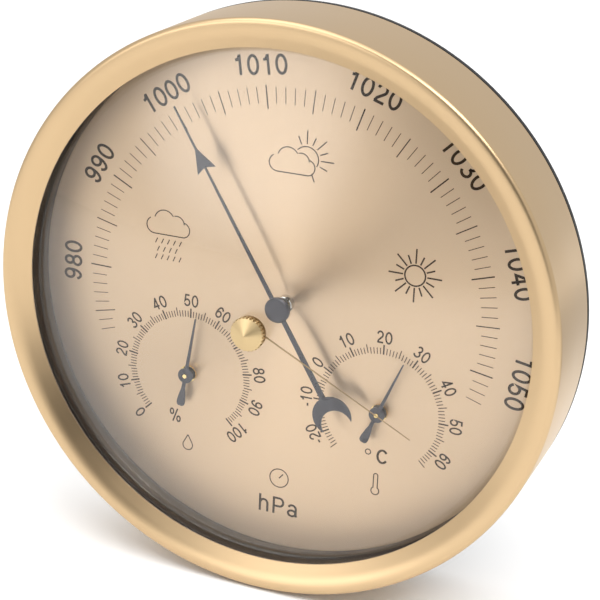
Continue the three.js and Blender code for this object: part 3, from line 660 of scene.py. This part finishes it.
def ribbon(lines, width, height):
    """Lines on the dial with an even width, as raised print. A line may close on itself."""
    bm = bmesh.new()
    for line in lines:
        closed = math.dist(line[0], line[-1]) < TINY
        corners = [bm.verts.new((x, y, 0.0)) for x, y in (line[:-1] if closed else line)]
        for pair in zip(corners, corners[1:] + corners[:1] if closed else corners[1:]):
            bm.edges.new(pair)
    lifted(bm, bmesh.ops.extrude_edge_only(bm, edges=list(bm.edges))["geom"], height)
    stock = shown("stock", to_mesh(bm, "stock"))
    wall = stock.modifiers.new("line width", "SOLIDIFY")
    wall.thickness = width
    wall.offset = 0.0
    wall.use_even_offset = True
    return tidy(settled(stock))


def letters(text, height, squeeze, line=LINE_SHARE):
    """Raised numerals or signs of that height in millimetres, centred on the y axis. squeeze
    makes them narrower or wider, and line is the width of their lines against the height."""
    lines, pen = [], 0.0
    for sign in text:
        lines += [[(x + pen, y) for x, y in path] for path in SIGN_LINES[sign]]
        pen += SIGN_STEPS.get(sign, USUAL_STEP)
    width = pen - LAST_GAP
    lines = [[((x - width / 2) * height, y * height) for x, y in path] for path in lines]
    bm = ribbon(lines, line * height, ink_height())
    bm.transform(Matrix.Diagonal((squeeze, 1, 1, 1)))
    return moved(bm, 0, 0, DIAL_Z)


# Width of the lines of the signs, where it isn't given
PEN_WIDTH = 0.26


def bar(start, end, width, bearing, at=(0.0, 0.0)):
    """A printed line along a bearing, between two radii from a point."""
    thick = ink_height()
    bm = bmesh.new()
    bmesh.ops.create_cube(bm, size=1.0)
    bm.transform(Matrix.Diagonal((width, end - start, thick, 1)))
    moved(bm, 0, (start + end) / 2, DIAL_Z + thick / 2)
    return moved(turned(bm, bearing), *at)


def stroke(centre, radius, start, end, width=PEN_WIDTH):
    """A printed arc: its bearings run clockwise from the top."""
    thick = ink_height()
    bm = bmesh.new()
    corners = [(0, radius - width / 2, DIAL_Z), (0, radius + width / 2, DIAL_Z),
               (0, radius + width / 2, DIAL_Z + thick), (0, radius - width / 2, DIAL_Z + thick)]
    end_face = bm.faces.new([bm.verts.new(c) for c in corners])
    turned(bm, start)
    steps = max(4, round(abs(end - start) / 12))
    full = abs(end - start) >= 359.9
    geom = [end_face] + list(end_face.edges) + list(end_face.verts)
    if full:
        bm.faces.remove(end_face)
        geom = list(bm.edges) + list(bm.verts)
    bmesh.ops.spin(bm, geom=geom, cent=(0, 0, 0), axis=(0, 0, -1), steps=steps,
                   angle=math.radians(end - start), use_merge=full)
    return moved(tidy(bm), *centre)


def on_scale(scale, value):
    """Bearing of a value on a scale."""
    zero, pitch = scale
    return (value - zero) * pitch


def scale_marks(at, first, last, scale, marks):
    """Marks of one scale, dark ones and fine ones."""
    dark, fine = [], []
    for value in range(first, last + 1):
        for every, inner, outer, width, ink in marks:
            if value % every == 0:
                line = bar(inner, outer, width, on_scale(scale, value), at)
                (dark if ink == "dark" else fine).append(line)
                break
    return dark, fine


def small_labels(at, values, scale, height):
    """Numerals of one small scale."""
    placed = []
    for value in values:
        label = moved(letters(str(value), height, SMALL_SQUEEZE), 0, SMALL_LABEL_FOOT)
        placed.append(moved(turned(label, on_scale(scale, value)), *at))
    return placed


# Marks of the scales: how many units apart, inner and outer radius, width, ink. A mark that
# several lines would print is printed by the first of them.
PRESSURE_MARKS = ((10, 44.0, 49.25, 0.3, "dark"), (5, 44.0, 49.25, 0.24, "dark"),
                  (1, 45.2, 48.85, 0.17, "fine"))
HYGRO_MARKS = ((10, 13.56, 15.85, 0.35, "dark"), (5, 13.9, 15.9, 0.22, "fine"),
               (1, 13.7, 15.2, 0.2, "fine"))
THERMO_MARKS = ((10, 13.7, 16.0, 0.35, "dark"), (5, 13.9, 15.9, 0.22, "fine"),
                (1, 13.7, 15.2, 0.2, "fine"))

# Numerals of the pressure scale: value, radius of the foot, and how far each one slides clockwise
# from its mark, in millimetres. The real dial is printed with these small offsets.
PRESSURE_NUMERALS = ((980, 51.7, 0.0), (990, 51.3, 0.3), (1000, 51.2, 0.0), (1010, 51.4, -0.9),
                     (1020, 51.7, 0.4), (1030, 52.0, -0.5), (1040, 52.6, -0.4), (1050, 53.0, -1.0))
PRESSURE_SQUEEZE = 0.95

# Numerals of the small scales: radius of the foot, and how much narrower they are
SMALL_LABEL_FOOT = 16.3
SMALL_SQUEEZE = 0.88

# Unit signs: text, height, squeeze, width of the lines against the height, and place of the foot.
# The ring of the degree sign has a middle and a radius.
UNIT_SIGNS = (("hPa", 4.3, 1.08, 0.12, (0.0, -52.6)), ("%", 3.3, 0.9, 0.12, (-26.9, -34.6)),
              ("C", 3.5, 1.08, LINE_SHARE, (24.5, -34.2)))
DEGREE_RING = ((21.3, -31.9), 0.62)


class STATION_OT_print(Operator):
    """Prints the three scales, the unit signs and the weather signs on the dial"""
    bl_idname = "station.print"
    bl_label = "Dial Print"

    def execute(self, context):
        sizes = context.scene.station_sizes
        tall, small = sizes.label_height / MM, sizes.small_label_height / MM
        dark, fine = [], []
        for plan in (((0.0, 0.0), 973, 1053, PRESSURE_SCALE, PRESSURE_MARKS),
                     (HYGRO_MIDDLE, 0, 100, HYGRO_SCALE, HYGRO_MARKS),
                     (SUBDIAL, -25, 65, THERMO_SCALE, THERMO_MARKS)):
            heavy, light = scale_marks(*plan)
            dark += heavy
            fine += light
        for value, foot, slide in PRESSURE_NUMERALS:
            label = moved(letters(str(value), tall, PRESSURE_SQUEEZE), slide, foot)
            dark.append(turned(label, on_scale(PRESSURE_SCALE, value)))
        dark += small_labels(HYGRO_MIDDLE, range(0, 101, 10), HYGRO_SCALE, small)
        dark += small_labels(SUBDIAL, range(-20, 61, 10), THERMO_SCALE, small)
        for text, height, squeeze, line, foot in UNIT_SIGNS:
            dark.append(moved(letters(text, height, squeeze, line), *foot))
        dark.append(stroke(*DEGREE_RING, 0, 360))
        piece("dial_scales", gathered(dark), finish_for("ink_dark"), "case")
        piece("dial_fine_marks", gathered(fine), finish_for("ink_fine"), "case")
        signs = rain_sign() + sun_and_cloud_sign() + sun_sign() + small_signs()
        piece("weather_signs", gathered(signs), finish_for("ink_fine"), "case")
        return {"FINISHED"}


# The cloud of two weather signs: its width, and its arcs. An arc has a middle and a radius in
# elevenths of the width, then its first and last bearing.
CLOUD_WIDTH = 10.6
PUFFS = (((-3.6, 1.0), 2.0, 180, 330), ((-1.0, 2.4), 2.6, 285, 420),
         ((2.2, 2.1), 1.9, 340, 450), ((3.7, 0.8), 1.85, 15, 180))


def cloud(x, y):
    """A cloud of four arcs over a flat foot."""
    unit = CLOUD_WIDTH / 11.0
    lines = [stroke((x + cx * unit, y + cy * unit), r * unit, a, b) for (cx, cy), r, a, b in PUFFS]
    foot = turned(bar(-3.65 * unit, 3.75 * unit, PEN_WIDTH, 0), 90)
    return lines + [moved(foot, x, y - 1.02 * unit)]


def rays(x, y, inner, long_end, short_end, width, skip=()):
    """Long and short rays round a point, but none at the bearings to skip."""
    lines, count = [], 16
    for i in range(count):
        bearing = 360 * i / count
        if any(low <= bearing <= high for low, high in skip):
            continue
        lines.append(bar(inner, long_end if i % 2 == 0 else short_end, width, bearing, (x, y)))
    return lines


def rain_sign():
    """A cloud over three rows of slanted drops, the middle row one drop shorter."""
    x, y, first, spacing = -29.6, 11.9, -2.9, 1.5
    half_drop, line, slant = 0.65, 0.24, 24
    lines = cloud(x, y)
    for height, shift, drops in ((9.3, 0.0, 5), (7.4, 0.5, 4), (5.5, 0.0, 5)):
        for i in range(drops):
            at = (x + first + spacing * i + shift, height)
            lines.append(bar(-half_drop, half_drop, line, slant, at))
    return lines


def sun_and_cloud_sign():
    """A sun that looks out behind a cloud."""
    x, y, hidden = 3.2, 33.7, ((130, 150), (170, 325))
    disc, inner, long_end, short_end, line = 2.8, 3.4, 6.4, 5.3, 0.28
    return (cloud(-0.1, 31.0) + [stroke((x, y), disc, -50, 120)]
            + rays(x, y, inner, long_end, short_end, line, hidden))


def sun_sign():
    """A sun with rays all round."""
    x, y = 29.5, 11.6
    disc, inner, long_end, short_end, line = 2.35, 2.75, 6.1, 4.8, 0.36
    return [stroke((x, y), disc, 0, 360, line)] + rays(x, y, inner, long_end, short_end, line)


def small_signs():
    """Plain gauge, drop and thermometer signs that tell the three scales apart."""
    x, pivot = SUBDIAL[0], (0, -43.4)
    gauge = [stroke(pivot, 2.3, 0, 360), bar(0, 1.5, 0.3, 40, pivot)]
    drop = [stroke((-x, -40.0), 1.25, 70, 290)]
    for side in (-1, 1):
        slope = turned(bar(0, 2.4, PEN_WIDTH, 0), -side * 28)
        drop.append(moved(slope, -x + side * 1.15, -39.55))
    stem = [bar(-0.9, 2.25, PEN_WIDTH, 0, (x + side * 0.5, -39.6)) for side in (-1, 1)]
    bulb = [stroke((x, -41.2), 0.95, 32, 328), stroke((x, -37.4), 0.5, 270, 450)]
    return gauge + drop + stem + bulb


class STATION_OT_pressure_hand(Operator):
    """Builds the long arrow hand with its boss and crescent counterweight"""
    bl_idname = "station.pressure_hand"
    bl_label = "Pressure Hand"

    def execute(self, context):
        low, high = 19.9, 20.25
        arrow = slab(mirrored([(0.5, 0), (0.21, 35.1), (2.4, 34.3), (0.21, 39.4), (0.15, 49.9)]),
                     low, high)
        tail = slab(mirrored([(0.675, -23.11), (0.5, 0.01)]), low, high)
        outer_radius, outer_y, inner_radius, inner_y = 4.63, -26.74, 3.78, -29.24
        bite = drum(inner_radius, low - OVERCUT, high + OVERCUT, 0, inner_y, 72)
        moon = worked(drum(outer_radius, low, high, 0, outer_y, 72), [bite], "DIFFERENCE")
        boss_radius, top = 2.9, high + 0.8
        boss = spun([(0, low), (boss_radius, low), (boss_radius, top - 0.4),
                     (boss_radius - 0.32, top - 0.12), (1.4, top - 0.03), (0, top)],
                    64, closed=False)
        whole = worked(arrow, [tail, moon, boss], "UNION")
        piece("arrow_hand", turned(whole, HAND_BEARING), finish_for("hand_gunmetal"), "pressure",
              ["pressure_hand"],
              rounding=context.scene.station_sizes.hand_rounding / MM)
        return {"FINISHED"}


class STATION_OT_centre_bush(Operator):
    """Builds the notched steel bush that carries the pressure hand"""
    bl_idname = "station.centre_bush"
    bl_label = "Centre Bush"

    def execute(self, context):
        low, high = -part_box("centre_bush")[1].y / MM, -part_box("centre_bush")[0].y / MM
        bore, stem, collar, rim_bevel = 0.95, 1.6, 1.95, 0.15
        tube = spun([(bore, low), (stem, low), (stem, DIAL_Z + 0.02), (collar, DIAL_Z + 0.1),
                     (collar, high - rim_bevel), (collar - rim_bevel, high), (bore, high)], 48)
        half_width, half_length, depth = 0.5, 3, 1.1
        notch = [(-half_width, -half_length), (half_width, -half_length),
                 (half_width, half_length), (-half_width, half_length)]
        cuts = [turned(slab(notch, high - depth, high + OVERCUT), bearing) for bearing in (28, 118)]
        piece("centre_bush_ring", worked(tube, cuts, "DIFFERENCE"), finish_for("steel_bright"),
              "case", ["centre_bush"])
        return {"FINISHED"}


class STATION_OT_small_hands(Operator):
    """Builds the two small hands with hub and paddle tail"""
    bl_idname = "station.small_hands"
    bl_label = "Small Hands"

    def execute(self, context):
        rounding = context.scene.station_sizes.hand_rounding / MM
        low, high, hub_radius, bore = 16.9, 17.3, 1.83, 0.52
        paddle = mirrored([(0.5, -7.75), (0.88, -7.45), (1.0, -6.9), (0.97, -6.3), (0.72, -4.6),
                           (0.45, -3.4), (0.36, 0.01)])
        for name, at, reach, bearing, body in (
            ("hygro_hand", HYGRO_MIDDLE, 14.5, HYGRO_BEARING, "hygro_reading"),
            ("thermo_hand", SUBDIAL, 14.1, THERMO_BEARING, "thermo_reading"),
        ):
            pointer = slab(mirrored([(0.425, 0), (0.15, reach)]), low, high)
            tail = slab(paddle, low, high)
            hub = drum(hub_radius, low, high, sides=40)
            hole = drum(bore, low - OVERCUT, high + OVERCUT, sides=24)
            whole = worked(worked(pointer, [tail, hub], "UNION"), [hole], "DIFFERENCE")
            piece(name + "_blade", moved(turned(whole, bearing), *at), finish_for("hand_gunmetal"),
                  body, [name], rounding=rounding)
        return {"FINISHED"}


class STATION_OT_set_knob(Operator):
    """Builds the ribbed brass set knob with its skirt, and the thin set hand"""
    bl_idname = "station.set_knob"
    bl_label = "Set Knob"

    def execute(self, context):
        foot, ribs, recess, rim = 35.3, 36.3, 36.7, 37.3
        inner, reach, valley_depth, chamfer = 3.0, 3.85, 0.3, 0.1
        profile = [(0, recess), (inner, recess), (inner, ribs), (reach - chamfer, ribs),
                   (reach, ribs + chamfer), (reach, rim), (3.62, rim + 0.16), (1.9, 38.15),
                   (0.25, 38.83), (0, KNOB_TOP)]
        per_tooth = 6
        columns = context.scene.station_sizes.knob_teeth * per_tooth
        bm = spun(profile, columns, closed=False)
        valley = []
        for vert in bm.verts:
            if math.hypot(vert.co.x, vert.co.y) > reach - 0.2:
                column = round(math.atan2(vert.co.y, vert.co.x) / math.tau * columns)
                if column % per_tooth in (0, 1, per_tooth - 1):
                    valley.append(vert)
        shrink = (reach - valley_depth) / reach
        bmesh.ops.scale(bm, verts=valley, vec=(shrink, shrink, 1))
        piece("set_knob_brass", brushed(bm, reach), finish_for("brass_turned"), "reference",
              ["set_knob"], crease=28)
        # The smooth foot of the knob under its ribbed rim is real; its darker brass is painted
        # shade under the rim
        outer, bevel = 3.72, 0.12
        skirt = [(inner, foot), (outer - bevel, foot), (outer, foot + bevel),
                 (outer, ribs - 0.02), (inner, ribs - 0.02)]
        piece("set_knob_skirt", spun(skirt, 96), finish_for("brass_dark"), "reference")

        # The blade falls from the collar to its tip, as the glass over it does
        blade_z, fall, run = 32.72, 5.03, 40.8
        blade = slab(mirrored([(0.17, 0), (0.08, 40.95)]), 0.05, 0.25)
        slope = Matrix.Rotation(-math.atan2(fall, run), 4, "X")
        blade.transform(Matrix.Translation((0, 0, blade_z)) @ slope)
        collar_radius, collar_low, collar_high, bore = 2.2, 32.42, 33.17, 1.05
        collar = drum(collar_radius, collar_low, collar_high, sides=40)
        hole = drum(bore, collar_low - OVERCUT, collar_high + OVERCUT, sides=32)
        whole = worked(worked(collar, [blade], "UNION"), [hole], "DIFFERENCE")
        piece("set_hand_blade", turned(whole, SET_HAND_BEARING), finish_for("brass_dark"),
              "reference", ["set_hand"], rounding=0.03)
        return {"FINISHED"}


class STATION_OT_rear_cover(Operator):
    """Builds the black rear cover with its hanger, vents and openings"""
    bl_idname = "station.rear_cover"
    bl_label = "Rear Cover"

    def execute(self, context):
        floor, outer, seat, inner, rim = 1.8, CASE_RADIUS, 64.7, 62.7, 13.9
        profile = [(0, 0), (62.2, 0), (62.5, 0.1), (65.9, 4.1), (outer, 4.3), (outer, 5.6),
                   (seat, 5.6), (seat, rim), (inner, rim), (inner, floor), (0, floor)]
        pan = spun(profile, closed=False)
        low, high = -OVERCUT, floor + OVERCUT

        def slot(width, x, y0, y1):
            """An upright slot with round ends."""
            ends = [arc(width / 2, (x, y1), 0, 180, 12), arc(width / 2, (x, y0), 180, 360, 12)]
            return slab(ends[0] + ends[1], low, high)

        head_radius, shank_width, keyhole_y, keyhole_top = 5.0, 5.0, 41, 49
        driver_hole, vent, half_vent = 3.0, 2.2, 5.5
        cuts = [drum(head_radius, low, high, 0, keyhole_y),
                slot(shank_width, 0, keyhole_y, keyhole_top),
                drum(driver_hole, low, high, -17, 8.5)]
        for x, y in (HYGRO_MIDDLE, SUBDIAL):
            cuts.append(drum(driver_hole, low, high, x, y))
            for shift in (-9.4, -4.7, 4.7, 9.4):
                cuts.append(slot(vent, x + shift, y - half_vent, y + half_vent))
        screw_circle, screw_hole, screw_sink, sink_depth = 54, 1.3, 2.9, 0.8
        for degrees in (30, 150, 270):
            x, y = arc(screw_circle, (0, 0), degrees, degrees, 1)[0]
            cuts.append(drum(screw_hole, low, high, x, y))
            cuts.append(drum(screw_sink, low, sink_depth, x, y))
        piece("rear_cover_shell", worked(pan, cuts, "DIFFERENCE"), finish_for("cover_black"),
              "case", ["rear_cover"], crease=35)
        return {"FINISHED"}


class STATION_OT_movement(Operator):
    """Gives the CAD pieces that keep their own mesh their finishes"""
    bl_idname = "station.movement"
    bl_label = "Movement Finishes"

    def execute(self, context):
        for part in frame["record"]["subparts"]:
            node = frame["nodes"][part["node"]]
            finish = part["material_slot"]
            if finish in ("case_gold", "dial_champagne", "clear_glass"):
                continue
            node.data.materials.clear()
            node.data.materials.append(finish_for(finish))
        return {"FINISHED"}


# Studio

def soft_light(name, place, target, width, height, power):
    """A white rectangle of light, turned to its target."""
    light = bpy.data.lights.new(name, "AREA")
    light.shape = "RECTANGLE"
    light.size, light.size_y = width, height
    light.energy = power
    obj = shown(name, light)
    obj.location = place
    obj.rotation_euler = (Vector(target) - Vector(place)).to_track_quat("-Z", "Y").to_euler()


# The floor: where its middle is behind the part, how far it reaches and how far under the part
FLOOR_MIDDLE, FLOOR_REACH, FLOOR_GAP = 0.45, 1.2, 0.0005


def floor_finish(color):
    """Pale matt floor that ends softly all round. On the right, out of the camera's sight, a soft
    round shade is painted into its colour, and the side wall of the case reflects it."""
    material = grained("pale floor", color, 0.0, 0.9, 0.01, 2.0, 0.02, 60.0, 0.05)
    nodes, links = material.node_tree.nodes, material.node_tree.links
    place = nodes.new("ShaderNodeTexCoord").outputs["Object"]
    shader = nodes["Principled BSDF"]
    # A soft round shade painted into the floor's colour, round a point behind the part on the right
    painted_shade_middle, middle = (0.3, 0.2, cad_box[0].z), (0.0, FLOOR_MIDDLE, cad_box[0].z)
    painted_shade = ramp(nodes, links, place, "DISTANCE", painted_shade_middle, (0.12, 0.26), (0.5, 1.0))
    paint = shader.inputs["Base Color"].links[0].from_socket
    links.new(scaled(nodes, links, paint, painted_shade), shader.inputs["Base Color"])
    end = ramp(nodes, links, place, "DISTANCE", middle, (0.65, 1.1), (1.0, 0.0))
    links.new(end, shader.inputs["Alpha"])
    return material


# Patches of the world: direction, degrees from it where the patch begins to fade and where it
# ends, the light outside the patch, and what is added inside it. The three add up.
PATCHES = (((0.12, -0.99, 0.06), 22.0, 50.0, 0.85, -0.38),
           ((0.43, -0.79, 0.43), 14.0, 31.0, 0.0, -0.46),
           ((-0.44, -0.86, 0.21), 7.0, 25.0, 0.0, 2.2))


def studio_world():
    """Pale light all round, darker in front and to its right, with a soft window on the left.
    The camera sees it white."""
    world = bpy.data.worlds.new("studio")
    world.use_nodes = True
    nodes, links = world.node_tree.nodes, world.node_tree.links
    place = nodes.new("ShaderNodeTexCoord").outputs["Generated"]
    lit = []
    for toward, inner, outer, start, gain in PATCHES:
        ends = (math.cos(math.radians(outer)), math.cos(math.radians(inner)))
        lit.append(ramp(nodes, links, place, "DOT_PRODUCT", Vector(toward).normalized(), ends,
                        (start, start + gain)))
    total = lit[0]
    for patch in lit[1:]:
        total = calculated(nodes, links, "ADD", total, patch)
    to_camera = nodes.new("ShaderNodeLightPath").outputs["Is Camera Ray"]
    strength = calculated(nodes, links, "MAXIMUM", total, to_camera)
    links.new(strength, nodes["Background"].inputs["Strength"])
    nodes["Background"].inputs["Color"].default_value = (1, 1, 1, 1)
    return world


class STATION_OT_stage(Operator):
    """Sets the pale floor, the soft studio lights and the camera"""
    bl_idname = "station.stage"
    bl_label = "Studio"

    def execute(self, context):
        scene = context.scene
        scene.view_settings.view_transform = "Standard"
        floor = bmesh.new()
        middle = Matrix.Translation((0, FLOOR_MIDDLE, cad_box[0].z - FLOOR_GAP))
        bmesh.ops.create_grid(floor, x_segments=1, y_segments=1, size=FLOOR_REACH, matrix=middle)
        stand = shown("studio_floor", to_mesh(floor, "studio_floor"))
        stand.data.materials.append(floor_finish(scene.station_colors.floor))

        scene.world = studio_world()
        soft_light("overhead_softbox", (-0.2, -0.3, 2.1), (-0.1, -0.1, 0), 2.4, 2.4, 15)
        soft_light("key_softbox", (-0.35, -0.5, 1.0), (-0.05, -0.1, 0), 0.9, 0.9, 3.5)
        soft_light("ridge_softbox", (0.68, -0.56, 1.1), (0, 0, 0), 1.2, 0.5, 9.5)

        # Place, axes and lens of the camera were fitted to the photograph
        camera = bpy.data.cameras.new("studio_camera")
        camera.lens = 105.84
        camera.sensor_width = 36.0
        eye = shown("studio_camera", camera)
        place = Vector((0.13845, -0.35728, 0.13916))
        right = Vector((0.92303, 0.38236, 0.04256))
        up = Vector((-0.17135, 0.30953, 0.93532))
        back = Vector((0.34446, -0.87063, 0.35122))
        turn = Matrix((right, up, back)).transposed().to_4x4()
        eye.matrix_world = Matrix.Translation(place) @ turn
        scene.camera = eye
        return {"FINISHED"}


STEPS = (STATION_OT_case, STATION_OT_glass, STATION_OT_inner_ring, STATION_OT_dial,
         STATION_OT_print, STATION_OT_pressure_hand, STATION_OT_centre_bush,
         STATION_OT_small_hands, STATION_OT_set_knob, STATION_OT_rear_cover,
         STATION_OT_movement, STATION_OT_stage)


class STATION_PT_panel(Panel):
    bl_idname = "STATION_PT_panel"
    bl_label = "Weather Station"
    bl_space_type = "VIEW_3D"
    bl_region_type = "UI"
    bl_category = "Weather Station"

    def draw(self, context):
        for step in STEPS:
            self.layout.operator(step.bl_idname)
        for group in (context.scene.station_sizes, context.scene.station_colors):
            column = self.layout.column()
            for name in group.bl_rna.properties.keys():
                if name not in ("rna_type", "name"):
                    column.prop(group, name)


CLASSES = (StationSizes, StationColors, *STEPS, STATION_PT_panel)


def register():
    for item in CLASSES:
        bpy.utils.register_class(item)
    bpy.types.Scene.station_sizes = PointerProperty(type=StationSizes)
    bpy.types.Scene.station_colors = PointerProperty(type=StationColors)


def unregister():
    del bpy.types.Scene.station_colors
    del bpy.types.Scene.station_sizes
    for item in reversed(CLASSES):
        bpy.utils.unregister_class(item)


def main():
    register()
    for step in STEPS:
        family, action = step.bl_idname.split(".")
        getattr(getattr(bpy.ops, family), action)()


if __name__ == "__main__":
    main()
